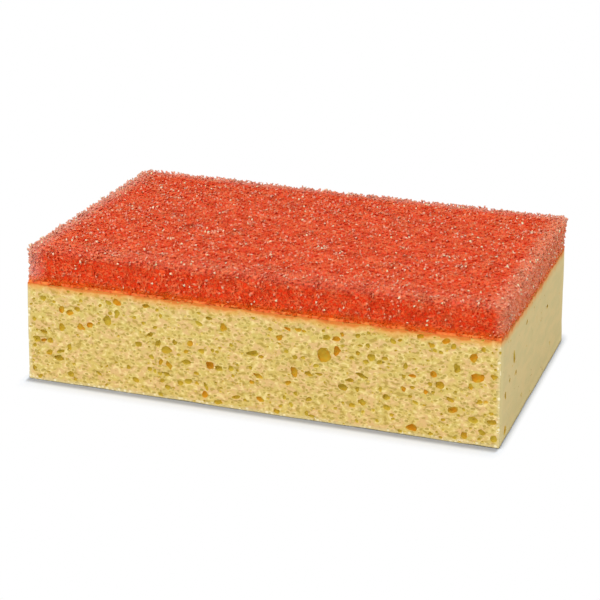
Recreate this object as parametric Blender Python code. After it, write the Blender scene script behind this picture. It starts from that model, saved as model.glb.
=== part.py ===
# Epoxy grout sponge: a block of pale yellow cellulose sponge with a pad of open red foam
# glued along its whole top. It lies on its cellulose face. Metres, +Z up, with the origin
# at the middle of the underside, the length along X and the width along Y.

import math
import random

import bmesh
import bpy
from mathutils import Matrix, Vector

MM = 0.001

# Driving dimensions of the block
sponge_length = 160 * MM
sponge_width = 100 * MM
cellulose_thickness = 34.5 * MM
block_edge_radius = 1.2 * MM
block_edge_segments = 2

# Driving dimensions of the foam pad
foam_thickness = 11.1 * MM
foam_corner_radius = 2.5 * MM
foam_corner_segments = 2
foam_cell_pitch = 4.4 * MM
foam_cell_shift = 0.9 * MM
foam_rim_drop = 0.5 * MM
foam_pit_shallow = 1.4 * MM
foam_pit_deep = 2.2 * MM
foam_edge_pit = 0.8 * MM
foam_seed = 7

# Driving dimensions of the glue film
glue_thickness = 0.5 * MM
glue_inset = 0.6 * MM
contact_gap = 0.3 * MM

# Driving dimensions of the pores in the cellulose
pore_wall = 0.4 * MM
pore_edge_margin = 0.5 * MM
pore_depth_ratio = 0.4
pore_tilt = math.radians(20)
pore_roughness = 0.12
large_pore_width = 2.5 * MM
large_pore_sides = (10, 6)
small_pore_sides = (7, 4)
pore_seed = 12

# The largest pores of the front face: along X, up from the underside, width, height
front_pores_mm = [
    (-48.0, 31.3, 3.0, 1.6),
    (-67.5, 26.7, 2.2, 2.4),
    (-64.3, 25.6, 2.4, 1.8),
    (-61.0, 21.7, 2.6, 2.0),
    (-57.6, 22.8, 2.2, 1.6),
    (-67.8, 20.2, 2.0, 2.4),
    (-75.6, 15.2, 2.6, 1.8),
    (-69.2, 9.5, 3.0, 1.6),
    (-64.8, 4.0, 2.0, 1.6),
    (-51.2, 24.9, 2.4, 2.2),
    (-40.2, 18.0, 2.2, 1.8),
    (-33.6, 20.2, 1.7, 2.0),
    (-30.6, 17.3, 3.2, 2.2),
    (-29.5, 12.2, 2.0, 2.4),
    (-22.2, 20.9, 2.0, 1.8),
    (-23.5, 14.2, 2.6, 1.4),
    (-19.5, 28.0, 2.2, 1.6),
    (-10.7, 27.9, 2.6, 2.2),
    (-15.5, 14.2, 3.0, 2.0),
    (-8.2, 14.5, 2.0, 2.0),
    (-17.3, 3.9, 2.2, 2.0),
    (-0.7, 20.5, 4.0, 2.0),
    (11.2, 30.4, 2.0, 1.2),
    (13.5, 16.2, 1.8, 2.8),
    (11.0, 11.7, 2.2, 1.6),
    (1.7, 5.2, 2.4, 1.6),
    (23.0, 22.7, 3.8, 3.0),
    (27.2, 25.2, 2.4, 2.6),
    (26.7, 29.2, 2.6, 1.2),
    (29.5, 13.4, 2.6, 1.4),
    (35.5, 9.1, 2.2, 2.0),
    (38.5, 24.2, 2.4, 2.2),
    (44.0, 8.9, 2.4, 1.6),
    (46.0, 30.9, 2.4, 1.2),
    (52.2, 3.2, 2.8, 1.8),
    (58.3, 21.9, 2.2, 2.2),
    (60.9, 18.6, 2.6, 1.8),
    (62.5, 32.2, 2.2, 1.6),
    (65.2, 11.2, 2.8, 2.0),
    (70.8, 28.9, 2.4, 2.8),
    (73.0, 22.5, 3.4, 2.6),
    (71.7, 8.3, 2.2, 1.8),
    (75.0, 4.4, 1.6, 2.2),
]

# Pores scattered over each face, as the number tried and the range of widths and heights
front_scatter = (46, (1.1 * MM, 1.9 * MM), (0.9 * MM, 1.3 * MM))
back_scatter = (54, (1.5 * MM, 3.8 * MM), (1.2 * MM, 2.4 * MM))
end_scatter = (12, (1.5 * MM, 3.0 * MM), (1.0 * MM, 1.4 * MM))
under_scatter = (26, (1.8 * MM, 3.8 * MM), (1.4 * MM, 2.6 * MM))
rest_pad_radius = 10 * MM
corner_margin = 4.5 * MM


def clear_scene():
    for thing in list(bpy.data.objects):
        bpy.data.objects.remove(thing, do_unlink=True)


def new_collection(name):
    collection = bpy.data.collections.new(name)
    bpy.context.scene.collection.children.link(collection)
    return collection


def new_material(name, colour, roughness):
    material = bpy.data.materials.new(name)
    material.use_nodes = True
    shader = material.node_tree.nodes["Principled BSDF"]
    shader.inputs["Base Color"].default_value = (*colour, 1)
    shader.inputs["Roughness"].default_value = roughness
    shader.inputs["Metallic"].default_value = 0
    material.diffuse_color = (*colour, 1)
    return material


def new_object(name, bm, collection, material=None):
    mesh = bpy.data.meshes.new(name)
    bm.to_mesh(mesh)
    bm.free()
    thing = bpy.data.objects.new(name, mesh)
    collection.objects.link(thing)
    if material:
        mesh.materials.append(material)
    return thing


def box(length, width, low, high):
    """A box centred in plan, from the height low to the height high."""
    bm = bmesh.new()
    size = Matrix.Diagonal((length, width, high - low, 1))
    bmesh.ops.create_cube(bm, size=1, matrix=Matrix.Translation((0, 0, (low + high) / 2)) @ size)
    return bm


def upright_edges(bm):
    return [e for e in bm.edges if abs((e.verts[0].co - e.verts[1].co).normalized().z) > 0.9]


def round_edges(bm, edges, radius, segments):
    bmesh.ops.bevel(bm, geom=edges, offset=radius, segments=segments, profile=0.5, affect="EDGES")


# Pores

def face_frame(middle, across, up):
    """A frame on one face of the block: X across it, Y up it and Z out of it."""
    out = Vector(across).cross(Vector(up))
    turned = Matrix((across, up, out)).transposed().to_4x4()
    return Matrix.Translation(middle) @ turned


def add_pore(bm, rng, frame, pore):
    """One irregular ellipsoid with its middle on the face."""
    across, up, width, height = pore
    depth = pore_depth_ratio * (width + height)
    shape = Matrix.Diagonal((width / 2, height / 2, depth, 1))
    turn = Matrix.Rotation(rng.uniform(-pore_tilt, pore_tilt), 4, "Z")
    place = frame @ Matrix.Translation((across, up, 0))
    around, along = large_pore_sides if width > large_pore_width else small_pore_sides
    made = bmesh.ops.create_uvsphere(
        bm, u_segments=around, v_segments=along, radius=1, matrix=place @ turn @ shape
    )
    middle = place.translation
    for vert in made["verts"]:
        swell = 1 + rng.uniform(-pore_roughness, pore_roughness)
        vert.co = middle + (vert.co - middle) * swell


def reach(pore):
    return max(pore[2], pore[3]) / 2 * (1 + pore_roughness)


def fits(pore, placed, half_across, low, high):
    """True where the pore lies inside its face and clear of the pores already placed."""
    size = reach(pore)
    if abs(pore[0]) + size > half_across or not low + size < pore[1] < high - size:
        return False
    for other in placed:
        apart = math.hypot(pore[0] - other[0], pore[1] - other[1])
        if apart < size + reach(other) + pore_wall:
            return False
    return True


def scattered(rng, scatter, placed, half_across, low, high):
    """Pores at random places of one face, added to those already placed."""
    tries, widths, heights = scatter
    for _ in range(tries):
        width = rng.uniform(*widths)
        height = min(width, rng.uniform(*heights))
        across = rng.uniform(-half_across, half_across)
        pore = (across, rng.uniform(low, high), width, height)
        if fits(pore, placed, half_across, low, high):
            placed.append(pore)
    return placed


def front_pores():
    """The pores read off the front face that lie clear of its edges."""
    half = sponge_length / 2 - block_edge_radius
    top = cellulose_thickness - pore_edge_margin
    kept = []
    for row in front_pores_mm:
        pore = tuple(value * MM for value in row)
        inside = abs(pore[0]) + pore[2] / 2 < half
        if inside and block_edge_radius + pore[3] / 2 < pore[1] < top - pore[3] / 2:
            kept.append(pore)
    return kept


def under_pores(rng):
    """Pores of the underside, away from the flat middle that the sponge rests on."""
    half_length = sponge_length / 2 - corner_margin
    half_width = sponge_width / 2 - corner_margin
    pores = scattered(rng, under_scatter, [], half_length, -half_width, half_width)
    return [p for p in pores if math.hypot(p[0], p[1]) > rest_pad_radius + reach(p)]


def pore_cutter(collection):
    """All pores of the block as one cutting mesh of separate closed shapes."""
    rng = random.Random(pore_seed)
    half_length = sponge_length / 2
    half_width = sponge_width / 2
    low = block_edge_radius + pore_edge_margin
    high = cellulose_thickness - pore_edge_margin
    front_half = half_length - corner_margin
    end_half = half_width - corner_margin
    front = face_frame((0, -half_width, 0), (1, 0, 0), (0, 0, 1))
    back = face_frame((0, half_width, 0), (-1, 0, 0), (0, 0, 1))
    right = face_frame((half_length, 0, 0), (0, 1, 0), (0, 0, 1))
    left = face_frame((-half_length, 0, 0), (0, -1, 0), (0, 0, 1))
    under = face_frame((0, 0, 0), (1, 0, 0), (0, -1, 0))
    faces = [
        (front, scattered(rng, front_scatter, front_pores(), front_half, low, high)),
        (back, scattered(rng, back_scatter, [], front_half, low, high)),
        (right, scattered(rng, end_scatter, [], end_half, low, high)),
        (left, scattered(rng, end_scatter, [], end_half, low, high)),
        (under, under_pores(rng)),
    ]
    bm = bmesh.new()
    for frame, pores in faces:
        for pore in pores:
            add_pore(bm, rng, frame, pore)
    cutter = new_object("pore_cutter", bm, collection)
    cutter.hide_render = True
    cutter.display_type = "WIRE"
    return cutter


# Cellulose block, cut from a larger one: sharp at the glued top, worn round elsewhere

def cellulose_block(collection, cutters):
    bm = box(sponge_length, sponge_width, 0, cellulose_thickness)
    under = [e for e in bm.edges if max(v.co.z for v in e.verts) < cellulose_thickness / 2]
    round_edges(bm, upright_edges(bm) + under, block_edge_radius, block_edge_segments)
    material = new_material("pale_yellow_cellulose", (0.69, 0.48, 0.145), 0.9)
    block = new_object("cellulose_block", bm, collection, material)
    block.data.shade_smooth()
    block.data.set_sharp_from_angle(angle=math.radians(40))
    cut = block.modifiers.new("pores", "BOOLEAN")
    cut.operation = "DIFFERENCE"
    cut.solver = "EXACT"
    cut.object = pore_cutter(cutters)
    return block


# Glue film, which shows as a thin orange line round the joint

def glue_film(collection):
    low = cellulose_thickness + contact_gap
    length = sponge_length - 2 * glue_inset
    width = sponge_width - 2 * glue_inset
    bm = box(length, width, low, low + glue_thickness)
    round_edges(bm, upright_edges(bm), foam_corner_radius, foam_corner_segments)
    material = new_material("orange_glue", (0.60, 0.08, 0.006), 0.6)
    return new_object("glue_film", bm, collection, material)


# Foam pad, open-celled: every cut face is a field of pits with a raised rim round each

def slice_into_cells(bm, axis, low, high):
    """Cuts the pad across one axis into equal cells."""
    count = max(2, round((high - low) / foam_cell_pitch))
    normal = Vector((0, 0, 0))
    normal[axis] = 1
    for step in range(1, count):
        place = normal * (low + (high - low) * step / count)
        everything = bm.verts[:] + bm.edges[:] + bm.faces[:]
        bmesh.ops.bisect_plane(bm, geom=everything, plane_co=place, plane_no=normal)


def dissolve_underside(bm, low):
    under = [f for f in bm.faces if f.normal.z < -0.9 and f.calc_center_median().z < low + MM / 100]
    bmesh.ops.dissolve_faces(bm, faces=under, use_verts=False)


def shake_rims(bm, rng, low):
    """Shifts each rim along the pad's faces and lets some rims lie below the cut face."""
    half_length = sponge_length / 2
    half_width = sponge_width / 2
    top = low + foam_thickness
    near = foam_cell_pitch / 10
    for vert in bm.verts:
        if vert.co.z < low + near:
            continue
        outward = vert.normal.copy()
        on_top = vert.co.z > top - near
        on_side = half_length - abs(vert.co.x) < foam_corner_radius + near
        on_side = on_side or half_width - abs(vert.co.y) < foam_corner_radius + near
        if on_top and on_side:
            continue
        shift = Vector([rng.uniform(-foam_cell_shift, foam_cell_shift) for _ in range(3)])
        vert.co += shift - outward * shift.dot(outward)
        vert.co -= outward * max(0, rng.uniform(-foam_rim_drop, foam_rim_drop))
        vert.co.x = max(-half_length, min(half_length, vert.co.x))
        vert.co.y = max(-half_width, min(half_width, vert.co.y))


def sink_pits(bm, rng, low):
    """Turns each cell of the top and sides into a pit, shallow next to an edge of the pad."""
    half_length = sponge_length / 2
    half_width = sponge_width / 2
    top = low + foam_thickness
    cells = [f for f in bm.faces if f.normal.z > -0.5]
    middles = bmesh.ops.poke(bm, faces=cells, center_mode="MEAN")["verts"]
    bm.normal_update()
    sunk = []
    for vert in middles:
        rooms = sorted((half_length - abs(vert.co.x), half_width - abs(vert.co.y), top - vert.co.z))
        at_edge = rooms[1] < foam_cell_pitch or vert.co.z - low < foam_cell_pitch
        pit = foam_edge_pit if at_edge else rng.uniform(foam_pit_shallow, foam_pit_deep)
        sunk.append(vert.co - vert.normal * pit)
    for vert, place in zip(middles, sunk):
        vert.co = place


def scrub_foam(collection):
    rng = random.Random(foam_seed)
    low = cellulose_thickness + contact_gap + glue_thickness + contact_gap
    high = low + foam_thickness
    bm = box(sponge_length, sponge_width, low, high)
    round_edges(bm, upright_edges(bm), foam_corner_radius, foam_corner_segments)
    slice_into_cells(bm, 0, -sponge_length / 2, sponge_length / 2)
    slice_into_cells(bm, 1, -sponge_width / 2, sponge_width / 2)
    slice_into_cells(bm, 2, low, high)
    dissolve_underside(bm, low)
    bm.normal_update()
    shake_rims(bm, rng, low)
    bm.normal_update()
    sink_pits(bm, rng, low)
    bmesh.ops.recalc_face_normals(bm, faces=bm.faces)
    material = new_material("red_open_foam", (0.68, 0.09, 0.04), 0.7)
    return new_object("scrub_foam", bm, collection, material)


clear_scene()
parts = new_collection("epoxy_grout_sponge")
cutters = new_collection("cutters")
cellulose_block(parts, cutters)
glue_film(parts)
scrub_foam(parts)
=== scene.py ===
import math
import random

import bmesh
import bpy
import numpy as np
from mathutils import Matrix, Vector, kdtree


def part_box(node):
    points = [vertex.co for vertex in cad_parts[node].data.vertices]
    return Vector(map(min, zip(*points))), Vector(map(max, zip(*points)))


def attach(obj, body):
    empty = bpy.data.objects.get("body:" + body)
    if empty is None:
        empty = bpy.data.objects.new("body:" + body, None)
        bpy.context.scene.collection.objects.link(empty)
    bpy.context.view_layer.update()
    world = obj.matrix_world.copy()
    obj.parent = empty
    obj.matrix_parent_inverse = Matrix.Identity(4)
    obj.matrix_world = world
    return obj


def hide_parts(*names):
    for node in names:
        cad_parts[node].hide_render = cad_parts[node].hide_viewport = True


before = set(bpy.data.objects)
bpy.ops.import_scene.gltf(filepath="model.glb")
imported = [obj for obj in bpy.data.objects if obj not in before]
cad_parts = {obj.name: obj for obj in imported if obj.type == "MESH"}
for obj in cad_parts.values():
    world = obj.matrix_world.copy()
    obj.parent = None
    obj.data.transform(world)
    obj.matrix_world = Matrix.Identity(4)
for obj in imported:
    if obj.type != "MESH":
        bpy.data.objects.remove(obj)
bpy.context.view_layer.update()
bpy.ops.object.select_all(action="DESELECT")

# Cellulose block
# A slab of regenerated cellulose sponge, sawn from a larger block: soft, pale yellow, full of
# pores of every size that were left by the salt crystals washed out of it. The saw leaves the
# large ones open, with an orange or olive inside, and the foam is glued to the slab's top.

MM = 0.001
# A point this near to a face lies on it
TOUCH = 1e-6


class Value:
    """A shader socket that Python's own arithmetic works on."""

    def __init__(self, nodes, socket):
        self.nodes = nodes
        self.socket = socket

    def maths(self, operation, *inputs):
        return self.nodes.node("ShaderNodeMath", {"operation": operation}, dict(enumerate(inputs)))

    def __add__(self, other):
        return self.maths("ADD", self, other)

    def __radd__(self, other):
        return self.maths("ADD", other, self)

    def __sub__(self, other):
        return self.maths("SUBTRACT", self, other)

    def __rsub__(self, other):
        return self.maths("SUBTRACT", other, self)

    def __mul__(self, other):
        return self.maths("MULTIPLY", self, other)

    def __rmul__(self, other):
        return self.maths("MULTIPLY", other, self)

    def __abs__(self):
        return self.maths("ABSOLUTE", self)

    def most(self, other):
        return self.maths("MAXIMUM", self, other)

    def step(self, low, high):
        """0 at low, 1 at high and smooth between, also where low is the larger of the two."""
        return self.nodes.node(
            "ShaderNodeMapRange",
            {"interpolation_type": "SMOOTHSTEP"},
            {"Value": self, "From Min": low, "From Max": high},
        )


class Nodes:
    """The nodes of a material or of the world, and the shader that they feed."""

    def __init__(self, tree, shader):
        self.tree = tree
        self.shader = tree.nodes[shader]

    def node(self, kind, settings=None, inputs=None, output=0):
        made = self.tree.nodes.new(kind)
        for name, value in (settings or {}).items():
            setattr(made, name, value)
        for name, value in (inputs or {}).items():
            self.join(value, made.inputs[name])
        return Value(self, made.outputs[output])

    def join(self, value, socket):
        if isinstance(value, Value):
            self.tree.links.new(value.socket, socket)
        else:
            socket.default_value = value

    def set(self, **sockets):
        for name, value in sockets.items():
            self.join(value, self.shader.inputs[name.replace("_", " ")])


class Finish(Nodes):
    """A material made node by node, on the object's own coordinates in metres."""

    def __init__(self, name):
        self.material = bpy.data.materials.new(name)
        self.material.use_nodes = True
        super().__init__(self.material.node_tree, "Principled BSDF")
        self.place = self.node("ShaderNodeTexCoord", output="Object")

    def blend(self, factor, one, other):
        """One colour where the factor is 0 and the other where it is 1."""
        # The node's sockets for colours share their names with those for numbers
        inputs = {0: factor, 6: one, 7: other}
        return self.node("ShaderNodeMix", {"data_type": "RGBA"}, inputs, output=2)

    def vector(self, operation, *inputs, output="Vector"):
        settings = {"operation": operation}
        return self.node("ShaderNodeVectorMath", settings, dict(enumerate(inputs)), output)

    def stretched(self, scale, where=None):
        """The object's own coordinates, or others, scaled apart along each axis."""
        return self.vector("MULTIPLY", where or self.place, scale)

    def cloud(self, size, where=None, detail=3, roughness=0.5, output="Fac"):
        """Smooth noise from 0 to 1 with patches of about this size."""
        where = where or self.place
        inputs = {"Vector": where, "Scale": 1 / size, "Detail": detail, "Roughness": roughness}
        return self.node("ShaderNodeTexNoise", {}, inputs, output)

    def cells(self, size, where=None, feature="F1"):
        """Distance from the middles, or from the edges, of cells of about this size."""
        inputs = {"Vector": where or self.place, "Scale": 1 / size}
        return self.node("ShaderNodeTexVoronoi", {"feature": feature}, inputs, "Distance")

    def attribute(self, name):
        return self.node("ShaderNodeAttribute", {"attribute_name": name}, output="Fac")

    def relief(self, height, distance, strength=1.0):
        inputs = {"Height": height, "Distance": distance, "Strength": strength}
        return self.node("ShaderNodeBump", {}, inputs, output="Normal")


def paint(red, green, blue):
    """A colour as a picture shows it, from 0 to 255, as the linear values that a shader takes."""
    shown = [c / 255 for c in (red, green, blue)]
    return tuple(c / 12.92 if c < 0.04045 else ((c + 0.055) / 1.055) ** 2.4 for c in shown) + (1,)


def ripple(points, size, seed, waves=14):
    """Smooth irregular noise of about -1 to 1 at each point, with bumps of about this size."""
    rng = np.random.default_rng(seed)
    way = rng.normal(size=(waves, 3))
    way *= 2 * math.pi / size / np.linalg.norm(way, axis=1, keepdims=True)
    way *= rng.uniform(0.6, 1.4, (waves, 1))
    return np.sin(points @ way.T + rng.uniform(0, 2 * math.pi, waves)).sum(1) / math.sqrt(waves)


def points_of(mesh):
    flat = np.empty(len(mesh.vertices) * 3)
    mesh.vertices.foreach_get("co", flat)
    return flat.reshape(-1, 3)


def move_points(mesh, points):
    mesh.vertices.foreach_set("co", points.ravel())
    mesh.update()


def add_attribute(mesh, name, values):
    """One number for each point of the mesh, for its material to read."""
    layer = mesh.attributes.new(name, "FLOAT", "POINT")
    layer.data.foreach_set("value", np.ascontiguousarray(values, np.float32))


def unit(vectors):
    """Each vector's direction, or nothing where it has no length, and its length."""
    length = np.linalg.norm(vectors, axis=1, keepdims=True)
    way = np.divide(vectors, length, out=np.zeros_like(vectors), where=length > 0)
    return way, length[:, 0]


def box_depth(points, low, high, corner, rim):
    """How deep each point lies inside an upright box with round corners and softer rims."""
    middle, half = (low + high) / 2, (high - low) / 2
    away = np.abs(points - middle) - half
    plan = away[:, :2] + corner
    wall = np.linalg.norm(np.maximum(plan, 0), axis=1) + np.minimum(plan.max(1), 0) - corner
    both = np.stack([wall, away[:, 2]], 1) + rim
    return rim - np.linalg.norm(np.maximum(both, 0), axis=1) - np.minimum(both.max(1), 0)


def plain_box(name, low, high):
    """A plain box between two opposite corners, to be shaped further."""
    bpy.ops.mesh.primitive_cube_add(size=1, location=(low + high) / 2)
    piece = bpy.context.object
    piece.name = name
    piece.scale = high - low
    bpy.ops.object.transform_apply(location=True, rotation=False, scale=True)
    return piece


def grid_faces(piece, pitches):
    """Cuts a box across each axis into strips of about this pitch."""
    bpy.ops.object.mode_set(mode="EDIT")
    bm = bmesh.from_edit_mesh(piece.data)
    for axis, pitch in enumerate(pitches):
        bpy.ops.mesh.select_all(action="DESELECT")
        for edge in bm.edges:
            along = edge.verts[1].co - edge.verts[0].co
            edge.select = abs(along[axis]) > 0.9 * along.length
        bmesh.update_edit_mesh(piece.data)
        strips = max(2, round(piece.dimensions[axis] / pitch))
        bpy.ops.mesh.subdivide(number_cuts=strips - 1)
    bpy.ops.object.mode_set(mode="OBJECT")


block_low, block_high = (np.array(corner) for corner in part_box("cellulose_block"))
block_size = block_high - block_low
block_middle = (block_low + block_high) / 2
sponge_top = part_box("scrub_foam")[1][2]
block_edge = 0.5 * MM
block_grid = 4.0 * MM
# How far the ends stand out: at their feet, at the foam's top right and low on the left
foot_right = 1.3 * MM
foot_left = 0.44 * MM
foam_lean = 0.5 * MM
left_swell = 0.25 * MM
# How far the joint climbs to the right, falls to the back, sags at both ends and rises again
# at the front's right corner, and the shares of the half length that the last two take
joint_rise = 0.66 * MM
joint_dip = 0.28 * MM
end_sag = 0.8 * MM
sag_share = 0.1
corner_rise = 0.4 * MM
corner_share = 0.25


def settle(points):
    """The sponge isn't sawn square: its ends lean out at the foot and its joint runs uphill."""
    x, y, z = points.T.copy()
    along = x / block_high[0]
    across = y / block_high[1]
    below = np.clip(1 - z / block_high[2], 0, 1)
    above = (z - block_high[2]) / (sponge_top - block_high[2])
    lean = (foot_right - foot_left) / 2 + (foot_right + foot_left) / 2 * along
    bulge = foam_lean * np.clip(above, 0, 1) * np.clip(along, 0, 1)
    swell = left_swell * np.clip(along, -1, 0) * np.clip(1 - above, 0, 1)
    near_end = np.clip((np.abs(along) - 1 + sag_share) / sag_share, 0, 1)
    near_corner = np.clip((along - 1 + corner_share) / corner_share, 0, 1)
    rise = joint_rise * along - joint_dip * across
    rise -= end_sag * near_end**2 * (1 - across**2)
    rise += corner_rise * near_corner * np.clip(-across, 0, 1)
    share = np.minimum(z / block_high[2], 1 - above)
    return np.stack([x + lean * below + bulge + swell, y, z + rise * share], 1)


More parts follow.
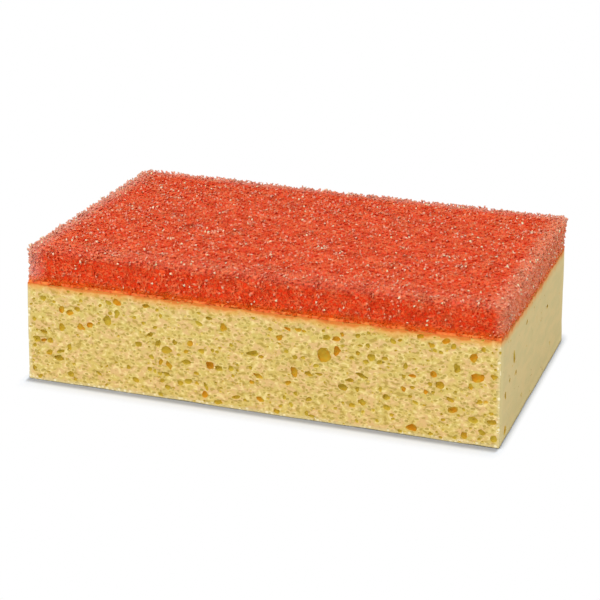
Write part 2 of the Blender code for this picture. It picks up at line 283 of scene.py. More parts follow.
# The pores of the front that show one by one: along X from the middle, up from the underside,
# width and height in mm, and 1 where the inside is orange, 0.5 golden and 0 olive
front_pores_mm = [
    (-47.9, 31.5, 2.7, 1.9, 1.0), (-50.7, 31.1, 2.0, 1.4, 0.2), (-67.6, 26.5, 1.9, 2.5, 0.8),
    (-64.7, 25.8, 2.5, 1.9, 0.7), (-62.0, 27.4, 1.9, 1.6, 0.3), (-60.8, 21.1, 2.7, 2.0, 0.8),
    (-57.7, 22.4, 2.3, 1.7, 1.0), (-67.6, 19.9, 2.0, 2.5, 0.3), (-76.8, 14.9, 2.4, 2.1, 0.2),
    (-74.4, 14.7, 2.0, 1.1, 0.9), (-72.0, 14.9, 2.0, 1.8, 0.3), (-68.8, 9.0, 3.3, 1.9, 0.2),
    (-64.6, 3.7, 2.1, 2.0, 0.1), (-51.2, 24.8, 2.7, 2.7, 0.2), (-47.8, 27.4, 1.7, 2.5, 0.1),
    (-50.2, 27.4, 1.4, 1.4, 0.3), (-40.4, 17.8, 2.3, 2.0, 0.2), (-36.2, 21.8, 2.1, 1.4, 0.1),
    (-33.3, 19.0, 1.8, 2.5, 0.1), (-30.4, 17.2, 3.3, 2.3, 0.5), (-29.7, 12.0, 1.7, 2.7, 0.7),
    (-32.5, 12.8, 1.4, 2.0, 0.6), (-27.5, 20.3, 1.6, 1.5, 0.1), (-74.1, 29.7, 1.9, 1.6, 0.2),
    (-77.6, 22.0, 1.6, 1.4, 0.3), (-74.2, 17.8, 2.4, 1.2, 0.3), (-65.0, 13.4, 1.4, 2.3, 0.2),
    (-68.1, 11.5, 2.4, 1.2, 0.2), (-72.3, 10.5, 2.0, 1.7, 0.2), (-62.0, 18.0, 1.4, 1.1, 0.2),
    (-60.7, 30.5, 1.3, 1.2, 0.3), (-37.7, 31.5, 2.4, 1.4, 0.2), (-33.7, 30.7, 1.3, 1.2, 0.2),
    (-41.6, 27.0, 1.4, 1.2, 0.3), (-41.4, 5.1, 2.2, 1.5, 0.3), (-36.6, 9.7, 1.6, 1.6, 0.1),
    (-34.7, 9.3, 1.3, 1.6, 0.2), (-32.8, 8.6, 1.6, 1.4, 0.1), (-30.5, 8.8, 2.2, 1.3, 0.1),
    (-32.2, 6.3, 1.8, 1.2, 0.3), (-30.2, 4.2, 1.7, 2.2, 0.1), (-32.7, 1.3, 1.6, 1.5, 0.1),
    (-51.8, 1.8, 1.3, 1.0, 0.1), (-77.9, 4.2, 1.4, 1.4, 0.2), (-75.8, 1.5, 1.7, 1.2, 0.2),
    (-54.5, 5.5, 2.3, 1.0, 0.2), (-63.1, 2.2, 1.3, 1.2, 0.2), (-43.9, 9.3, 1.4, 1.4, 0.2),
    (-35.8, 14.0, 1.6, 1.6, 0.1), (-32.5, 28.8, 1.2, 1.4, 0.2), (-34.5, 24.5, 1.8, 1.0, 0.2),
    (-22.4, 20.7, 2.0, 2.0, 0.9), (-20.1, 20.7, 1.2, 1.0, 0.5), (-15.5, 14.0, 3.1, 2.4, 0.8),
    (-12.6, 13.4, 2.8, 1.6, 0.1), (-23.7, 13.8, 2.9, 1.4, 0.0), (-8.3, 14.0, 1.8, 2.0, 0.1),
    (-10.9, 27.6, 2.3, 2.4, 0.8), (-19.3, 27.8, 2.4, 1.6, 0.2), (-15.7, 30.1, 2.4, 1.0, 0.1),
    (-19.3, 31.4, 1.4, 1.0, 0.1), (-18.4, 24.6, 1.3, 1.2, 0.4), (-13.0, 19.0, 1.4, 1.0, 0.0),
    (-17.3, 3.5, 1.9, 2.3, 1.0), (-17.0, 6.5, 1.2, 2.4, 0.1), (-23.0, 7.5, 2.4, 1.8, 0.1),
    (-25.8, 6.3, 1.9, 1.6, 0.3), (-20.2, 7.0, 1.4, 1.2, 0.4), (-12.6, 1.5, 2.4, 1.5, 0.5),
    (-1.0, 20.1, 3.5, 1.7, 0.0), (2.2, 19.5, 1.7, 1.1, 0.3), (-1.8, 15.2, 1.5, 1.1, 0.1),
    (0.9, 12.7, 3.0, 1.3, 0.5), (-1.1, 10.3, 1.8, 1.3, 0.7), (1.7, 4.8, 2.3, 1.6, 0.7),
    (-3.5, 3.7, 1.4, 0.9, 0.1), (5.1, 29.3, 1.7, 1.2, 0.3), (8.2, 26.8, 2.1, 1.6, 0.8),
    (10.9, 30.0, 2.0, 1.1, 0.9), (14.3, 30.2, 2.3, 1.2, 0.6), (13.3, 20.8, 2.0, 1.3, 0.0),
    (13.3, 15.9, 1.9, 3.1, 0.7), (11.0, 11.7, 2.3, 1.4, 0.5), (13.5, 8.4, 1.8, 1.5, 0.1),
    (18.0, 7.1, 2.1, 1.4, 0.1), (9.9, 6.5, 1.2, 1.5, 0.1), (12.0, 4.3, 1.6, 1.6, 0.1),
    (8.5, 3.5, 1.4, 1.0, 0.1), (7.2, 1.5, 1.9, 1.5, 0.3), (17.2, 2.4, 1.2, 1.6, 0.1),
    (19.0, 1.6, 2.0, 1.0, 0.1), (10.5, 22.4, 1.4, 1.4, 0.1), (20.5, 18.8, 1.9, 1.2, 0.1),
    (23.0, 22.8, 4.2, 3.4, 0.5), (23.6, 28.8, 2.6, 1.7, 0.2), (17.8, 15.9, 2.7, 1.5, 0.2),
    (21.5, 16.3, 2.2, 1.0, 0.3), (-18.3, 18.4, 2.2, 1.6, 0.3), (-7.6, 11.5, 1.2, 1.0, 0.2),
    (-6.6, 4.2, 2.6, 1.1, 0.4), (-23.7, 17.6, 1.6, 1.3, 0.3), (-20.3, 10.5, 1.6, 1.2, 0.5),
    (27.3, 24.9, 2.3, 2.9, 0.9), (27.0, 28.8, 2.3, 1.5, 0.9), (29.0, 30.6, 1.2, 1.4, 0.6),
    (29.1, 26.8, 1.4, 1.0, 0.1), (34.1, 30.7, 1.6, 1.4, 0.1), (37.6, 28.0, 1.4, 1.6, 0.2),
    (38.7, 24.3, 2.1, 2.5, 0.1), (37.0, 22.6, 2.0, 1.2, 0.2), (41.3, 23.0, 2.0, 1.1, 0.1),
    (43.0, 24.5, 2.0, 1.2, 0.2), (35.5, 17.7, 3.3, 1.3, 0.1), (31.4, 15.7, 2.4, 1.3, 0.2),
    (29.3, 13.0, 3.0, 1.8, 0.1), (34.1, 13.0, 1.2, 1.6, 0.1), (41.5, 14.0, 1.1, 2.4, 0.2),
    (43.5, 11.7, 2.4, 1.8, 0.2), (35.5, 8.8, 2.4, 2.1, 0.5), (43.7, 8.4, 2.4, 1.8, 0.4),
    (32.4, 7.3, 2.2, 1.2, 0.3), (34.1, 2.2, 1.6, 1.4, 0.1), (45.6, 30.4, 2.4, 1.2, 0.1),
    (47.8, 31.1, 1.4, 0.9, 0.3), (49.0, 15.3, 1.5, 1.6, 0.7), (51.9, 16.2, 1.6, 1.0, 0.2),
    (52.0, 20.0, 2.0, 1.0, 1.0), (49.8, 23.0, 1.4, 2.0, 0.2), (58.7, 21.4, 2.2, 1.8, 0.9),
    (60.8, 18.3, 2.4, 2.4, 0.7), (57.7, 18.2, 1.4, 1.3, 0.3), (54.3, 33.2, 2.0, 1.4, 0.7),
    (58.0, 30.8, 2.0, 1.4, 0.7), (62.6, 32.6, 2.3, 1.8, 0.9), (64.9, 31.0, 1.8, 1.6, 0.3),
    (71.2, 28.3, 2.0, 2.9, 0.7), (72.8, 22.0, 3.7, 2.7, 0.8), (70.5, 18.8, 1.6, 1.6, 0.3),
    (77.8, 22.9, 1.9, 1.4, 0.3), (74.4, 31.3, 1.2, 1.5, 0.2), (66.0, 24.3, 2.2, 2.4, 0.1),
    (64.1, 14.0, 2.4, 1.2, 0.4), (65.0, 10.6, 2.7, 1.8, 0.8), (73.3, 14.3, 2.2, 1.2, 0.3),
    (71.4, 8.1, 2.7, 2.0, 0.1), (77.4, 8.3, 3.0, 1.4, 0.2), (75.3, 10.2, 1.4, 1.1, 0.1),
    (74.3, 4.5, 2.0, 1.6, 0.1), (78.0, 3.0, 1.9, 2.0, 0.1), (68.7, 2.8, 2.0, 2.0, 0.6),
    (52.0, 2.8, 3.0, 2.1, 0.8), (58.0, 1.7, 1.6, 1.2, 0.2), (48.0, 1.0, 1.6, 1.0, 0.2),
    (62.0, 7.0, 1.3, 1.0, 0.3), (59.0, 29.2, 1.6, 1.0, 0.2), (32.2, 23.2, 1.6, 1.0, 0.2),
    (35.0, 27.7, 1.8, 0.8, 0.4), (45.4, 6.0, 1.6, 1.0, 0.4), (51.2, 13.0, 1.3, 1.3, 0.3),
    (53.0, 11.3, 2.0, 1.0, 0.3), (36.0, 5.5, 1.4, 1.9, 0.1),
]
# The few pores of the right end in the same way, along Y from the middle
end_pores_mm = [
    (-31.0, 23.2, 2.2, 4.0, 0.2), (-28.1, 17.2, 1.8, 1.6, 0.2), (-42.9, 14.8, 1.8, 2.0, 0.2),
    (-42.1, 3.1, 3.0, 2.2, 0.5), (22.0, 22.7, 2.4, 1.4, 0.3), (27.7, 7.3, 1.6, 1.4, 0.2),
    (-12.2, 28.8, 2.0, 1.3, 0.2), (-37.4, 17.8, 1.6, 1.2, 0.2), (-18.8, 6.1, 1.5, 1.3, 0.2),
]

# How a pore lies at its face: its turn in radians, how far its middle sinks in by half its
# size, the spread of its depth, and the width from which it gets no deeper for its size
pore_turn = 0.45
pore_sink = (-0.12, 0.14)
pore_depth = (0.9, 1.3)
wide_pore = 2.4 * MM
# How far the hollow reaches along its face by its width, how much it is dented, and what it
# keeps clear of the next one
mouth_share = 0.6
pore_dents = 0.22
pore_reach = 1.05
pore_wall = 0.1 * MM
# Pores wider than this are made of finer balls
fine_pore = 1.15 * MM


class Pores:
    """Pores of the block, each an irregular hollow with its middle near a face."""

    def __init__(self, seed):
        self.rng = random.Random(seed)
        self.middles = []
        self.reaches = []
        self.shapes = []
        self.warmths = []

    def clear(self, middle, reach):
        """True where a new pore would leave a wall to all the others."""
        if not self.middles:
            return True
        apart = np.linalg.norm(np.array(self.middles) - middle, axis=1)
        return bool((apart > np.array(self.reaches) + reach + pore_wall).all())

    def add(self, face, across, up, width, height, warmth):
        """Sinks one pore into a face, unless it would break into another."""
        origin, right, above = face
        out = np.cross(right, above)
        sink = self.rng.uniform(*pore_sink) * min(width, height) / 2
        middle = origin + right * across + above * up - out * sink
        reach = (width + height) / 4 * pore_reach
        if not self.clear(middle, reach):
            return
        turn = self.rng.uniform(-pore_turn, pore_turn)
        along = right * math.cos(turn) + above * math.sin(turn)
        upward = np.cross(out, along)
        wideness = min(1, width / wide_pore)
        deep = (0.12 + 0.1 * wideness) * self.rng.uniform(*pore_depth) * (width + height)
        mouth = [along * width * mouth_share, upward * height * mouth_share]
        self.middles.append(middle)
        self.reaches.append(reach)
        self.shapes.append(np.stack([*mouth, out * deep]))
        self.warmths.append(warmth)

    def scatter(self, face, half, low, high, tries, sizes, flat):
        """Tries this many pores at random places of one face, larger ones being rarer."""
        for _ in range(tries):
            width = sizes[0] + (sizes[1] - sizes[0]) * self.rng.random() ** 2
            height = width * self.rng.uniform(*flat)
            across = self.rng.uniform(-half, half)
            up = self.rng.uniform(low, high)
            warmth = self.rng.random() ** 1.6 if width > 1.3 * MM else 0.3 * self.rng.random()
            self.add(face, across, up, width, height, warmth)

    def warmth_at(self, points):
        """The warmth of the pore that each point belongs to."""
        tree = kdtree.KDTree(len(self.middles))
        for index, middle in enumerate(self.middles):
            tree.insert(middle, index)
        tree.balance()
        warmths = []
        for point in points:
            near = [(away / self.reaches[i], i) for _, i, away in tree.find_n(point, 4)]
            warmths.append(self.warmths[min(near)[1]])
        return np.array(warmths)


def all_pores():
    """The front's and the right end's own pores, then random ones on every sawn face."""
    half_length, half_width, _ = block_size / 2
    top = block_high[2] - 0.3 * MM
    x, y, z = np.eye(3)
    front = (np.array([0, block_low[1], 0]), x, z)
    back = (np.array([0, block_high[1], 0]), -x, z)
    right = (np.array([block_high[0], 0, 0]), y, z)
    left = (np.array([block_low[0], 0, 0]), -y, z)
    under = (np.array([0, 0, 0.0]), x, -y)
    pores = Pores(31)
    for face, rows in ((front, front_pores_mm), (right, end_pores_mm)):
        for across, up, width, height, warmth in rows:
            pores.add(face, across * MM, up * MM, width * MM, height * MM, warmth)
    fine = (0.6 * MM, 1.3 * MM)
    medium = (0.9 * MM, 1.5 * MM)
    large = (1.0 * MM, 3.0 * MM)
    in_end = (0.4 * MM, 1.0 * MM)
    flat = (0.4, 0.95)
    # Each face's half length, lowest and highest place, number of tries, widths and flatness
    pores.scatter(front, half_length, 0.8 * MM, top, 60, medium, flat)
    pores.scatter(front, half_length, 0.3 * MM, top, 900, fine, flat)
    pores.scatter(back, half_length, 0.8 * MM, top, 130, large, flat)
    pores.scatter(back, half_length, 0.3 * MM, top, 380, fine, flat)
    for end in (right, left):
        pores.scatter(end, half_width, 0.5 * MM, top, 70, in_end, (0.5, 1.0))
    pores.scatter(under, half_length, -half_width, half_width, 130, large, flat)
    pores.scatter(under, half_length, -half_width, half_width, 300, fine, flat)
    return pores


def ball_of_triangles(detail):
    """The points and faces of a ball, modelled once for all pores of a size."""
    bpy.ops.mesh.primitive_ico_sphere_add(subdivisions=detail, radius=1)
    ball = bpy.context.object
    points = points_of(ball.data)
    faces = np.array([tuple(p.vertices) for p in ball.data.polygons])
    bpy.data.objects.remove(ball)
    return points, faces


def pore_cutter(pores):
    """All the pores as one mesh of separate closed hollows, dented so that none is round."""
    rng = np.random.default_rng(5)
    coarse_ball = ball_of_triangles(1)
    fine_ball = ball_of_triangles(2)
    points, faces, count = [], [], 0
    for middle, shape in zip(pores.middles, pores.shapes):
        width = np.linalg.norm(shape[0]) / mouth_share
        ball, sides = fine_ball if width > fine_pore else coarse_ball
        dents = 1 + pore_dents * ripple(ball, 1.3, rng.integers(1 << 30), waves=6)
        points.append(middle + (ball * dents[:, None]) @ shape)
        faces.append(sides + count)
        count += len(ball)
    mesh = bpy.data.meshes.new("pore_cutter")
    mesh.from_pydata(np.concatenate(points), [], np.concatenate(faces).tolist())
    mesh.update()
    cutter = bpy.data.objects.new("pore_cutter", mesh)
    bpy.context.scene.collection.objects.link(cutter)
    return cutter


def flat_sided_block():
    """The sawn slab before its pores: worn round below and upright, sharp along the joint."""
    block = plain_box("sponge_block", block_low, block_high)
    grid_faces(block, (block_grid, block_grid, block_grid))
    bpy.ops.object.mode_set(mode="EDIT")
    bm = bmesh.from_edit_mesh(block.data)
    bpy.ops.mesh.select_all(action="DESELECT")
    for edge in bm.edges:
        ends = [np.array(vert.co) for vert in edge.verts]
        at_wall = [np.abs(np.abs(end - block_middle) - block_size / 2) < TOUCH for end in ends]
        shared = at_wall[0] & at_wall[1]
        low_enough = max(end[2] for end in ends) < block_high[2] - TOUCH
        edge.select = shared.sum() > 1 and (low_enough or not shared[2])
    bmesh.update_edit_mesh(block.data)
    bpy.ops.mesh.bevel(offset=block_edge, segments=3, affect="EDGES")
    bpy.ops.object.mode_set(mode="OBJECT")
    return block


def wave(points):
    """How far the sawn faces stand out or, mostly, in."""
    swell = 0.12 * MM * ripple(points, 22 * MM, 1) + 0.06 * MM * ripple(points, 9 * MM, 2)
    return np.minimum(swell, 0.05 * MM)


def soften(block):
    """Gives the sawn faces the slight waves of a dry sponge, inside the slab's own size."""
    points = points_of(block.data)
    outward = points - np.clip(points, block_low + 3 * MM, block_high - 3 * MM)
    outward[:, 2] *= points[:, 2] < block_middle[2]
    move_points(block.data, points + unit(outward)[0] * wave(points)[:, None])


def carve(block, pores):
    """Cuts all the pores out of the block at once."""
    cutter = pore_cutter(pores)
    cut = block.modifiers.new("pores", "BOOLEAN")
    cut.solver = "MANIFOLD"
    cut.object = cutter
    bpy.context.view_layer.objects.active = block
    bpy.ops.object.modifier_apply(modifier=cut.name)
    bpy.data.objects.remove(cutter)


def measure(block, pores):
    """Tells the material, in mm, how deep in a pore a point lies and how far from the edges."""
    points = points_of(block.data)
    open_top = block_high + [0, 0, 5 * MM]
    depth = box_depth(points, block_low, open_top, block_edge, block_edge) + wave(points)
    rooms = np.abs(block_high - np.abs(points))
    rooms[:, 2] = points[:, 2]
    add_attribute(block.data, "pore_depth", depth / MM)
    add_attribute(block.data, "pore_warmth", pores.warmth_at(points))
    add_attribute(block.data, "joint_gap", (block_high[2] - points[:, 2]) / MM)
    add_attribute(block.data, "edge_gap", np.sort(rooms, 1)[:, 1] / MM)


def wandering(finish):
    """The object's own coordinates, pushed about so that no pattern runs straight."""
    drift = finish.vector("SUBTRACT", finish.cloud(3 * MM, output="Color"), (0.5, 0.5, 0.5))
    drift = finish.vector("MULTIPLY", drift, (1.6 * MM, 1.6 * MM, 1.6 * MM))
    return finish.vector("ADD", finish.place, drift)


def long_side(finish, edge_gap):
    """Colour and relief of the long sawn faces: patches, pale crumbs and fine dark pores."""
    place = wandering(finish)
    grain = finish.stretched((0.75, 0.75, 1.1), place)
    patches = finish.cloud(3.4 * MM, grain, detail=2)
    tints = finish.cloud(2.2 * MM, place, detail=2)
    specks = finish.cloud(1.2 * MM, grain, detail=1, roughness=0.4)
    pits = finish.cells(2.0 * MM, grain)
    skin = finish.blend(patches.step(0.4, 0.6), paint(215, 187, 101), paint(224, 184, 120))
    skin = finish.blend(tints.step(0.52, 0.68) * 0.5, skin, paint(208, 190, 104))
    skin = finish.blend(specks.step(0.44, 0.3) * 0.65, skin, paint(248, 224, 152))
    skin = finish.blend(specks.step(0.56, 0.66) * 0.8, skin, paint(180, 150, 66))
    skin = finish.blend(pits.step(0.44, 0.32) * 0.35, skin, paint(248, 222, 144))
    skin = finish.blend(pits.step(0.3, 0.2) * 0.75, skin, paint(176, 148, 58))
    skin = finish.blend(edge_gap.step(1.7, 0.3) * 0.8, skin, paint(222, 202, 142))
    crumbs = finish.cells(1.5 * MM).step(0.42, 0.24) * edge_gap.step(1.6, 0.7)
    skin = finish.blend(crumbs * 0.9, skin, paint(250, 234, 188))
    height = pits.step(0.1, 0.3) + specks.step(0.7, 0.5) * 0.6 + patches * 0.4
    return skin, height


def short_end(finish, edge_gap):
    """Colour of the two ends, which the blade has left close and smooth."""
    mottle = finish.cloud(3.2 * MM, finish.stretched((1, 0.3, 1)))
    skin = finish.blend(mottle.step(0.35, 0.65), paint(213, 193, 134), paint(221, 196, 136))
    return finish.blend(edge_gap.step(4.5, 1.5) * 0.6, skin, paint(226, 206, 142))


def soaked_rim(finish, skin, joint_gap):
    """The skin, stained orange next to the joint where glue has soaked in."""
    soaked = joint_gap + finish.cloud(4 * MM, detail=2) * 3 - 1.5
    skin = finish.blend(soaked.step(3.2, 0.4) * 0.75, skin, paint(234, 158, 74))
    return finish.blend(soaked.step(1.1, 0.2) * 0.8, skin, paint(220, 112, 36))


def pore_inside(finish, depth):
    """Olive, golden or orange by the pore's warmth, with a pale lip that is a painted highlight on
    its rim.
    """
    glow = finish.attribute("pore_warmth") + finish.cloud(1.8 * MM, detail=1) * 1.6 - 0.8
    inside = finish.blend(glow.step(0.1, 0.6), paint(198, 169, 53), paint(206, 167, 44))
    inside = finish.blend(glow.step(0.45, 1.1), inside, paint(214, 146, 22))
    # Painted highlight: the pale lip just inside the pore's mouth
    return finish.blend(depth.step(0.3, 0.1), inside, paint(232, 206, 110))


def cellulose_finish():
    finish = Finish("pale_yellow_cellulose")
    depth = finish.attribute("pore_depth")
    edge_gap = finish.attribute("edge_gap")
    joint_gap = finish.attribute("joint_gap")
    foot_gap = block_size[2] / MM - joint_gap
    facing = finish.node("ShaderNodeTexCoord", output="Normal")
    sideways = abs(finish.node("ShaderNodeSeparateXYZ", {}, {0: facing}, output="X"))
    at_end = sideways.step(0.75, 0.93)
    skin, height = long_side(finish, edge_gap)
    skin = finish.blend(at_end, skin, short_end(finish, edge_gap))
    # Painted shade: the ends darken at their foot, where they meet the floor
    painted_foot_shade = sideways.step(0.3, 0.6) * foot_gap.step(1.5, 0.2)
    skin = finish.blend(painted_foot_shade * 0.8, skin, paint(146, 132, 92))
    skin = soaked_rim(finish, skin, joint_gap)
    finish.set(
        Base_Color=finish.blend(depth.step(0.05, 0.16), skin, pore_inside(finish, depth)),
        Roughness=0.9,
        Specular_IOR_Level=0.25,
        Normal=finish.relief(height * (1 - at_end * 0.8), 0.2 * MM, 0.6),
    )
    return finish.material


block = flat_sided_block()
soften(block)
block_pores = all_pores()
carve(block, block_pores)
measure(block, block_pores)
move_points(block.data, settle(points_of(block.data)))
block.data.shade_smooth()
bpy.ops.object.select_all(action="DESELECT")
block.select_set(True)
bpy.ops.object.shade_smooth_by_angle(angle=math.radians(50))
block.data.materials.clear()
block.data.materials.append(cellulose_finish())
block.data.polygons.foreach_set("material_index", np.zeros(len(block.data.polygons), np.int32))
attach(block, "root")
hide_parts("cellulose_block")

# Glue line
# A spread film of orange contact glue between the two layers. It has soaked a millimetre up
# into the foam and squeezed out a little, so it shows as an uneven line round the joint.

foam_low, foam_high = (np.array(corner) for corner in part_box("scrub_foam"))
film_bottom = block_high[2] + 0.05 * MM
film_top = foam_low[2] - 0.1 * MM
film_grid = (2.0 * MM, 2.0 * MM, 0.5 * MM)
film_wave = 0.2 * MM


def glue_sheet():
    """The film from side to side of the foam, drawn in unevenly all round."""
    low = np.array([*foam_low[:2], film_bottom])
    high = np.array([*foam_high[:2], film_top])
    sheet = plain_box("glue_line", low, high)
    grid_faces(sheet, film_grid)
    points = points_of(sheet.data)
    pull = np.minimum(0, film_wave * ripple(points, 7 * MM, 8) - film_wave)
    for axis in range(2):
        at_side = np.abs(np.abs(points[:, axis]) - foam_high[axis]) < TOUCH
        points[:, axis] += np.sign(points[:, axis]) * pull * at_side
    move_points(sheet.data, settle(points))
    return sheet


def glue_finish():
    finish = Finish("orange_glue")
    streak = finish.cloud(2.2 * MM, detail=4)
    finish.set(
        Base_Color=finish.blend(streak.step(0.35, 0.65), paint(238, 96, 12), paint(246, 136, 44)),
        Roughness=0.55,
        Normal=finish.relief(finish.cloud(0.8 * MM), 0.2 * MM, 0.7),
    )
    return finish.material


sheet = glue_sheet()
sheet.data.materials.append(glue_finish())
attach(sheet, "root")
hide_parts("glue_film")

# Net of the scrubbing pad
# Coarse red polyurethane foam whose cell walls were blown out, which leaves a net of struts.
# The pad is sawn from it, so the cut struts stand up frayed all round, and it is glued on by its
# underside. The pale colour of the frayed tips is a painted highlight. Only the outer layer is made
# as a net.

foam_cell = 2.35 * MM
foam_corner = 2.0 * MM
foam_rim = 0.4 * MM
foam_foot = film_bottom + 0.1 * MM
net_depth = 1.5 * MM
net_reach = 20 * MM
net_turn = np.array(Matrix.Rotation(0.7, 3, (0.3, 0.8, 0.52)))
cell_warp = 0.32
node_scatter = 0.09
cell_scatter = 0.05
# How far a strut's corners reach from its middle line to the cells round it, at the surface
# and below, where the net closes up
strut_size = 0.15
deep_strut_size = 0.46
# How far the sawn surface stands out and wanders, and how much a strut's cut strays from it
# by the strut's length, between the two shares of that length where it can be cut
saw_lift = 0.1 * MM
saw_wander = 0.12 * MM
saw_play = 0.14
saw_range = (0.12, 0.9)
# The share of cut struts that are frayed, how it varies in patches, and how many get a painted
# glint
tip_share = 0.17
tip_patches = 0.2
painted_glint_share = 0.24
# The widened end of a frayed strut, its point, and how a plain end is widened
knob_radius = 0.46 * MM
knob_spread = (0.7, 1.25)
point_height = 0.5 * MM
highest_point = 0.9 * MM
plain_end = 1.1
net_pieces = 4
net_margin = 5 * MM


def foam_depth(points):
    """How deep each point lies below the sawn top and sides, which wander a little."""
    low = foam_low - [0, 0, 10 * MM]
    depth = box_depth(points, low, foam_high, foam_corner, foam_rim)
    return depth + saw_lift - saw_wander * np.clip(ripple(points, 6 * MM, 21), -1.5, 1.2)


def in_place(spots):
    """Where a spot of the even grid lies in the foam: turned, and warped so no rows show."""
    points = spots * foam_cell / 4 @ net_turn.T
    middle = (foam_low + foam_high) / 2
    warp = [cell_warp * foam_cell * ripple(points, 4.2 * foam_cell, seed) for seed in (41, 42, 43)]
    return points + middle + np.stack(warp, 1)


def cell_middles():
    """Two cubic grids set between each other: the middles of the foam's fourteen-sided cells."""
    reach = int(np.linalg.norm(foam_high - foam_low) / 2 / foam_cell) + 3
    count = np.arange(-reach, reach + 1)
    grid = np.stack(np.meshgrid(count, count, count, indexing="ij"), -1).reshape(-1, 3) * 4
    middles = np.concatenate([grid, grid + 2])
    middles = middles[np.abs(in_place(middles)[:, 2] - foam_high[2]) < net_reach]
    depth = foam_depth(in_place(middles))
    return middles[(depth > -1.5 * foam_cell) & (depth < net_depth + 1.5 * foam_cell)]


def cell_shape():
    """The corners of one cell, in quarters of its width, and its edges between them."""
    corners = []
    for zero in range(3):
        one, two = (zero + 1) % 3, (zero + 2) % 3
        for a in (-1, 1):
            for b in (-1, 1):
                for first, second in ((1, 2), (2, 1)):
                    corner = [0, 0, 0]
                    corner[one], corner[two] = a * first, b * second
                    corners.append(corner)
    corners = np.array(corners)
    apart = ((corners[:, None] - corners[None]) ** 2).sum(-1)
    edges = np.argwhere(np.triu(apart == 2))
    return corners, edges


def sides_of(near, far):
    """The three sides of each strut, from the three points at one end to those at the other."""
    around = [(0, 1), (1, 2), (2, 0)]
    sides = [np.stack([near[:, i], near[:, j], far[:, j], far[:, i]], 1) for i, j in around]
    return np.stack(sides, 1).reshape(-1, 4)


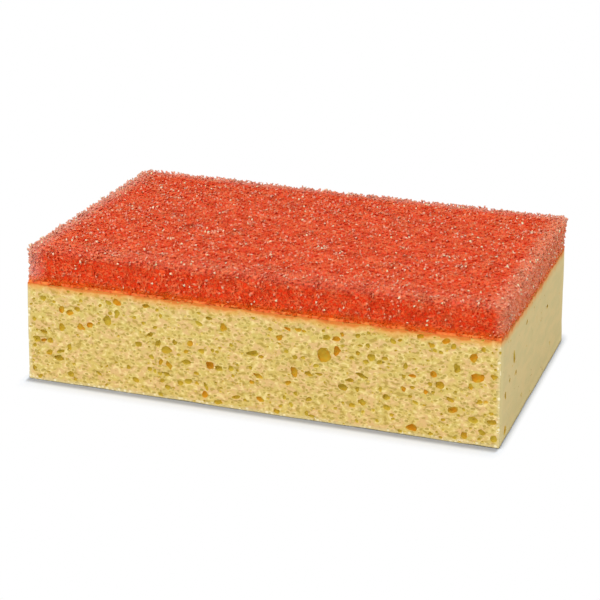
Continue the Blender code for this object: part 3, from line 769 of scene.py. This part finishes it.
class Net:
    """The struts between the nodes of the foam, where four cells met, as they are sawn."""

    def __init__(self, seed):
        self.rng = np.random.default_rng(seed)
        middles = cell_middles()
        corners, edges = cell_shape()
        self.place_nodes(middles, corners)
        self.pair_ends(len(middles), len(corners), edges)
        self.parts = [self.points]
        self.tip_highlights = [np.zeros(len(self.points))]
        self.quads = []
        self.caps = []

    def place_nodes(self, middles, corners):
        """Each node has a point for each cell that met there, drawn towards that cell."""
        spots = (middles[:, None] + corners).reshape(-1, 3)
        nodes, node_of = np.unique(spots, axis=0, return_inverse=True)
        node_of = node_of.reshape(-1)
        scatter = self.rng.normal(size=nodes.shape) * node_scatter * foam_cell
        node_place = in_place(nodes) + scatter
        scatter = self.rng.normal(size=middles.shape) * cell_scatter * foam_cell
        cell_place = in_place(middles) + scatter
        depth = foam_depth(node_place)
        closed = np.clip((depth / MM - 0.1) / 0.7, 0, 1)
        thick = strut_size + (deep_strut_size - strut_size) * closed
        thick *= self.rng.uniform(0.8, 1.25, len(nodes))
        cell_of = np.repeat(np.arange(len(middles)), len(corners))
        reach = cell_place[cell_of] - node_place[node_of]
        self.points = node_place[node_of] + reach * thick[node_of][:, None]
        self.node_of = node_of
        self.node_place = node_place
        self.depth = np.minimum(depth, node_place[:, 2] - foam_foot)
        self.inside = (self.depth > 0) & (depth < net_depth)
        self.outside = self.depth <= 0

    def pair_ends(self, cells, cell_corners, edges):
        """Finds the three points at each end of every strut, in one order round it."""
        start = (np.arange(cells) * cell_corners)[:, None]
        first = (start + edges[:, 0]).reshape(-1)
        second = (start + edges[:, 1]).reshape(-1)
        back = self.node_of[first] > self.node_of[second]
        first[back], second[back] = second[back], first[back]
        key = self.node_of[first].astype(np.int64) * len(self.node_place) + self.node_of[second]
        order = np.argsort(key, kind="stable")
        _, start, count = np.unique(key[order], return_index=True, return_counts=True)
        rows = order[start[count == 3][:, None] + np.arange(3)]
        near, far = first[rows], second[rows]
        way = self.node_place[self.node_of[far[:, 0]]] - self.node_place[self.node_of[near[:, 0]]]
        a, b, c = (self.points[near[:, i]] for i in range(3))
        wrong = (np.cross(b - a, c - a) * way).sum(1) < 0
        near[wrong] = near[wrong][:, ::-1]
        far[wrong] = far[wrong][:, ::-1]
        self.near = near
        self.far = far

    def keep_whole(self):
        """Keeps the struts between two nodes that both lie in the layer."""
        both = self.inside[self.node_of[self.near[:, 0]]]
        both &= self.inside[self.node_of[self.far[:, 0]]]
        self.quads.append(sides_of(self.near[both], self.far[both]))

    def saw(self, base, tip, turned):
        """Cuts the struts that leave the layer at this end, and closes or frays them there."""
        base_node = self.node_of[base[:, 0]]
        tip_node = self.node_of[tip[:, 0]]
        cut = self.inside[base_node] & self.outside[tip_node]
        blind = self.inside[base_node] & ~self.inside[tip_node] & ~self.outside[tip_node]
        under, over = self.depth[base_node[cut]], self.depth[tip_node[cut]]
        sawn = under / (under - over)
        sawn = np.clip(sawn + self.rng.uniform(-saw_play, saw_play, len(sawn)), *saw_range)
        start = self.points[base[cut]]
        ends = start + (self.points[tip[cut]] - start) * sawn[:, None, None]
        middle = ends.mean(1)
        frayed, bright = self.fray(middle)
        size = np.linalg.norm(ends - middle[:, None], axis=2).mean(1)
        knob = knob_radius * self.rng.uniform(*knob_spread, len(ends)) / size
        wider = np.where(frayed, knob, plain_end)
        ends = middle[:, None] + (ends - middle[:, None]) * wider[:, None, None]
        # The paleness of each frayed end is a painted highlight, strongest where a painted glint is
        glow = frayed * self.rng.uniform(0.35, 1.0, len(ends)) ** 1.2 + bright
        peaks = (middle + unit(middle - start.mean(1))[0] * point_height)[frayed]
        peaks[:, 2] = np.minimum(peaks[:, 2], foam_high[2] + highest_point)
        rows = self.new_points(ends, np.repeat(glow, 3)).reshape(-1, 3)
        peak_rows = self.new_points(peaks, glow[frayed])
        blind_ends = base[blind]
        if turned:
            self.quads.append(sides_of(rows, base[cut]))
            rows = rows[:, ::-1]
            blind_ends = blind_ends[:, ::-1]
        else:
            self.quads.append(sides_of(base[cut], rows))
        self.caps.append(rows[~frayed])
        for i, j in ((0, 1), (1, 2), (2, 0)):
            self.caps.append(np.stack([rows[frayed, i], rows[frayed, j], peak_rows], 1))
        self.caps.append(blind_ends)

    def fray(self, places):
        """Picks the ends that are frayed, in patches and none at the joint, and their painted
        glints.
        """
        share = tip_share + tip_patches * ripple(places, 4.5 * MM, 61)
        share *= np.clip((places[:, 2] - foam_low[2]) / (2 * MM), 0, 1)
        frayed = self.rng.random(len(places)) < share
        bright = frayed & (self.rng.random(len(places)) < painted_glint_share)
        return frayed, bright & (ripple(places, 6 * MM, 62) > 0)

    def new_points(self, places, tip_highlights):
        """Adds points to the net, and gives the numbers they have there."""
        places = places.reshape(-1, 3)
        made = sum(len(part) for part in self.parts)
        self.parts.append(places)
        self.tip_highlights.append(tip_highlights)
        return made + np.arange(len(places))

    def finished(self):
        """All points, four-sided faces, triangles, and the painted highlight of each point, pale at
        frayed tips.
        """
        self.keep_whole()
        self.saw(self.near, self.far, turned=False)
        self.saw(self.far, self.near, turned=True)
        lists = (self.parts, self.quads, self.caps, self.tip_highlights)
        return [np.concatenate(parts) for parts in lists]


def used_mesh(name, points, quads, triangles):
    """A mesh of these faces with only the points that they use, and which those are."""
    used = np.zeros(len(points), bool)
    used[quads.ravel()] = True
    used[triangles.ravel()] = True
    index = np.cumsum(used) - 1
    mesh = bpy.data.meshes.new(name)
    mesh.vertices.add(int(used.sum()))
    mesh.vertices.foreach_set("co", points[used].ravel())
    corners = np.concatenate([index[quads].ravel(), index[triangles].ravel()])
    mesh.loops.add(len(corners))
    mesh.loops.foreach_set("vertex_index", corners)
    quad_starts = np.arange(len(quads)) * 4
    triangle_starts = quads.size + np.arange(len(triangles)) * 3
    mesh.polygons.add(len(quads) + len(triangles))
    mesh.polygons.foreach_set("loop_start", np.concatenate([quad_starts, triangle_starts]))
    mesh.update(calc_edges=True)
    mesh.validate()
    return mesh, used


def add_gaps(mesh, points):
    """Each point's distance in mm from the pad's top, ends, front, and left end or back."""
    right, back, top = np.maximum(foam_high - points, 0).T / MM
    left, front, _ = np.maximum(points - foam_low, 0).T / MM
    wide_right = right * (1 + 1.2 * np.clip(top / 3, 0, 1))
    add_attribute(mesh, "top_gap", top)
    add_attribute(mesh, "end_gap", np.minimum(wide_right, left * 4))
    add_attribute(mesh, "front_gap", front)
    add_attribute(mesh, "far_gap", np.minimum(left, back))


def painted_light_and_glue_stain(finish, red):
    """The pad's red with painted light, paler on the top, at its ends and towards its open edges,
    and orange next to the glue, by mm from them.
    """
    top_gap = finish.attribute("top_gap")
    front_gap = finish.attribute("front_gap")
    on_top = top_gap.step(3.0, 0.3)
    near_end = finish.attribute("end_gap").step(7.5, 1.5)
    # Painted light: the top and its front edge a little paler, the ends paler against their shade,
    # and the open left end and back pale where light passes through the struts
    painted_backlight = finish.attribute("far_gap").step(7.5, 0.5) * on_top.most(front_gap.step(6, 2))
    painted_light_end_red = finish.blend(on_top, paint(255, 141, 101), paint(242, 142, 108))
    red = finish.blend(on_top * 0.05, red, paint(244, 168, 134))
    red = finish.blend(on_top * front_gap.step(14, 4) * 0.14, red, paint(244, 168, 134))
    red = finish.blend(near_end * 0.85, red, painted_light_end_red)
    red = finish.blend(painted_backlight * 0.6, red, paint(234, 184, 164))
    return finish.blend(top_gap.step(8.5, 11.5) * 0.8, red, paint(238, 96, 10))


def lit_through(finish):
    """The light that thin red struts let through, and their faint shine."""
    finish.set(
        Specular_IOR_Level=0.1,
        Subsurface_Weight=0.5,
        Subsurface_Radius=(1.0, 0.35, 0.2),
        Subsurface_Scale=1.0 * MM,
    )


def net_finish():
    finish = Finish("red_open_foam")
    tip = finish.attribute("tip")
    tint = finish.cloud(4.2 * MM, detail=2)
    on_top = finish.attribute("top_gap").step(2.0, 0.5)
    red = finish.blend(tint.step(0.38, 0.62), paint(230, 62, 20), paint(252, 106, 60))
    # Painted highlights: frayed tips pale coral, paler on the top where the light falls, and glints
    # cream
    knob = finish.blend(on_top, paint(255, 154, 114), paint(255, 166, 134))
    red = finish.blend(tip, painted_light_and_glue_stain(finish, red), knob)
    lit_through(finish)
    finish.set(
        Base_Color=finish.blend(tip.step(1.1, 1.6), red, paint(255, 226, 182)),
        Roughness=0.5,
        Coat_Weight=tip.step(0.1, 0.8),
        Coat_Roughness=0.25,
    )
    return finish.material


net_points, net_quads, net_caps, net_tip_highlights = Net(77).finished()
quad_x = net_points[net_quads].mean(1)[:, 0]
cap_x = net_points[net_caps].mean(1)[:, 0]
net_start = foam_low[0] - net_margin
net_length = foam_high[0] - foam_low[0] + 2 * net_margin
net_material = net_finish()
for number in range(net_pieces):
    low = net_start + net_length * number / net_pieces
    high = low + net_length / net_pieces
    quads = net_quads[(quad_x >= low) & (quad_x < high)]
    caps = net_caps[(cap_x >= low) & (cap_x < high)]
    name = f"foam_net_{number + 1}"
    mesh, used = used_mesh(name, net_points, quads, caps)
    add_attribute(mesh, "tip", net_tip_highlights[used])
    add_gaps(mesh, net_points[used])
    move_points(mesh, settle(net_points[used]))
    net = bpy.data.objects.new(name, mesh)
    bpy.context.scene.collection.objects.link(net)
    mesh.materials.append(net_material)
    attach(net, "root")
    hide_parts("scrub_foam")

# Inside of the scrubbing pad
# The same red foam further in, where its struts close up until the eye meets only more foam.
# It is made as a bumpy bed close under the net, down to the glue that it stands on.

bed_depth = np.array([0.3, 0.4, 0.4]) * MM
bed_corner = 2.0 * MM
bed_bumps = 0.28 * MM
bed_grid = (1.0 * MM, 1.0 * MM, 0.9 * MM)


def bed_points(points):
    """A box's points drawn in to round edges, and raised and dented like the net above them."""
    low = foam_low + bed_depth + [bed_corner, bed_corner, 0]
    high = foam_high - bed_depth - bed_corner
    low[2] = foam_foot
    middle = np.clip(points, low, high)
    out, length = unit(points - middle)
    bumps = bed_bumps * np.clip(ripple(points, 2.6 * MM, 91, waves=20), -1.3, 1.0)
    reach = np.where(length > bed_corner - TOUCH, bed_corner + bumps, length)
    return middle + out * reach[:, None]


def bed_finish():
    finish = Finish("deep_red_foam")
    web = finish.cells(1.6 * MM, feature="DISTANCE_TO_EDGE")
    threads = web.step(0.16, 0.04)
    lit_through(finish)
    finish.set(
        Base_Color=painted_light_and_glue_stain(finish, finish.blend(threads, paint(236, 60, 14), paint(250, 92, 42))),
        Roughness=0.6,
        Normal=finish.relief(threads, 0.4 * MM),
    )
    return finish.material


core_low = np.array([*(foam_low + bed_depth)[:2], foam_foot])
core = plain_box("foam_core", core_low, foam_high - bed_depth)
grid_faces(core, bed_grid)
bed = bed_points(points_of(core.data))
add_gaps(core.data, bed)
move_points(core.data, settle(bed))
core.data.shade_smooth()
core.data.materials.append(bed_finish())
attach(core, "root")
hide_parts("scrub_foam")

# Studio
# A plain white sweep that keeps a soft grey shadow, with a painted shadow at the sponge's foot, one
# large soft lamp high on the camera's left, an even white sky, and the camera where the photograph
# was taken from.

floor_size = 6
floor_drop = 0.1 * MM
floor_pale = (0.84, 0.9, 1.0, 1)
painted_shadow_grey = (0.39, 0.41, 0.46, 1)
# The shadow fades out between these distances from the sponge's foot, and its painted dark part
# by the second pair. A distance along X counts 4 times, and one along Y 1.5 times
shadow_end = (3 * MM, 14 * MM)
foot_shadow_end = (6 * MM, 1.5 * MM)
shadow_shape = (4.0, 1.5, 0)
white = (1, 1, 1, 1)
sky_light = 0.81
lamp_width = 0.7
lamp_energy = 6.8
lamp_place = Vector((-0.2, -0.8, 1.1))
lamp_aim = Vector((0, 0, 0.02))
camera_place = Vector((186.35, -568.24, 238.5)) * MM
camera_aim = Vector((-1.28, -0.85, 21.88)) * MM
camera_roll = math.radians(1.0784)
camera_lens = 110.84


def shown(nodes):
    """1 for the rays that show the background: straight, in a mirror or through glass."""
    rays = ("Is Camera Ray", "Is Glossy Ray", "Is Transmission Ray")
    straight, mirror, glass = (nodes.node("ShaderNodeLightPath", output=ray) for ray in rays)
    return straight.most(mirror).most(glass)


def sweep_finish():
    """A floor that is white where it is seen, apart from the sponge's shadow and a painted shadow
    at its foot.
    """
    finish = Finish("white_sweep")
    seen = finish.node("ShaderNodeLightPath", output="Is Camera Ray")
    beside = finish.vector("ABSOLUTE", finish.place)
    beside = finish.vector("SUBTRACT", beside, (block_high[0], block_high[1], 0))
    beside = finish.vector("MAXIMUM", beside, (0, 0, 0))
    beside = finish.vector("MULTIPLY", beside, shadow_shape)
    away = finish.vector("LENGTH", beside, output="Value")
    # Painted shadow: the floor is grey near the sponge's foot, for straight rays only
    painted_shadow_mask = seen * away.step(*foot_shadow_end)
    finish.set(Base_Color=finish.blend(painted_shadow_mask, floor_pale, painted_shadow_grey), Roughness=0.9)
    bright = finish.node("ShaderNodeEmission", {}, {"Color": white, "Strength": 1.0})
    lit = Value(finish, finish.shader.outputs[0])
    clear = shown(finish) * away.step(*shadow_end)
    mixed = finish.node("ShaderNodeMixShader", {}, {0: clear, 1: lit, 2: bright})
    finish.join(mixed, finish.tree.nodes["Material Output"].inputs["Surface"])
    return finish.material


bpy.ops.mesh.primitive_plane_add(size=floor_size, location=(0, 0, -floor_drop))
floor = bpy.context.object
floor.name = "white_floor"
floor.data.materials.append(sweep_finish())

world = bpy.data.worlds.new("white_sky")
bpy.context.scene.world = world
world.use_nodes = True
sky = Nodes(world.node_tree, "Background")
sky.set(Color=white, Strength=sky_light + (1 - sky_light) * shown(sky))

lamp_data = bpy.data.lights.new("soft_lamp", "AREA")
lamp_data.shape = "RECTANGLE"
lamp_data.size = lamp_width
lamp_data.size_y = lamp_width
lamp_data.energy = lamp_energy
lamp = bpy.data.objects.new("soft_lamp", lamp_data)
lamp.location = lamp_place
lamp.rotation_euler = (lamp_aim - lamp_place).to_track_quat("-Z", "Y").to_euler()
bpy.context.scene.collection.objects.link(lamp)

camera_data = bpy.data.cameras.new("camera")
camera_data.lens = camera_lens
camera_data.sensor_width = 36
camera = bpy.data.objects.new("camera", camera_data)
turn = (camera_aim - camera_place).to_track_quat("-Z", "Y").to_matrix().to_4x4()
camera.matrix_world = Matrix.Translation(camera_place) @ turn @ Matrix.Rotation(camera_roll, 4, "Z")
bpy.context.scene.collection.objects.link(camera)
bpy.context.scene.camera = camera
bpy.context.scene.view_settings.view_transform = "Standard"
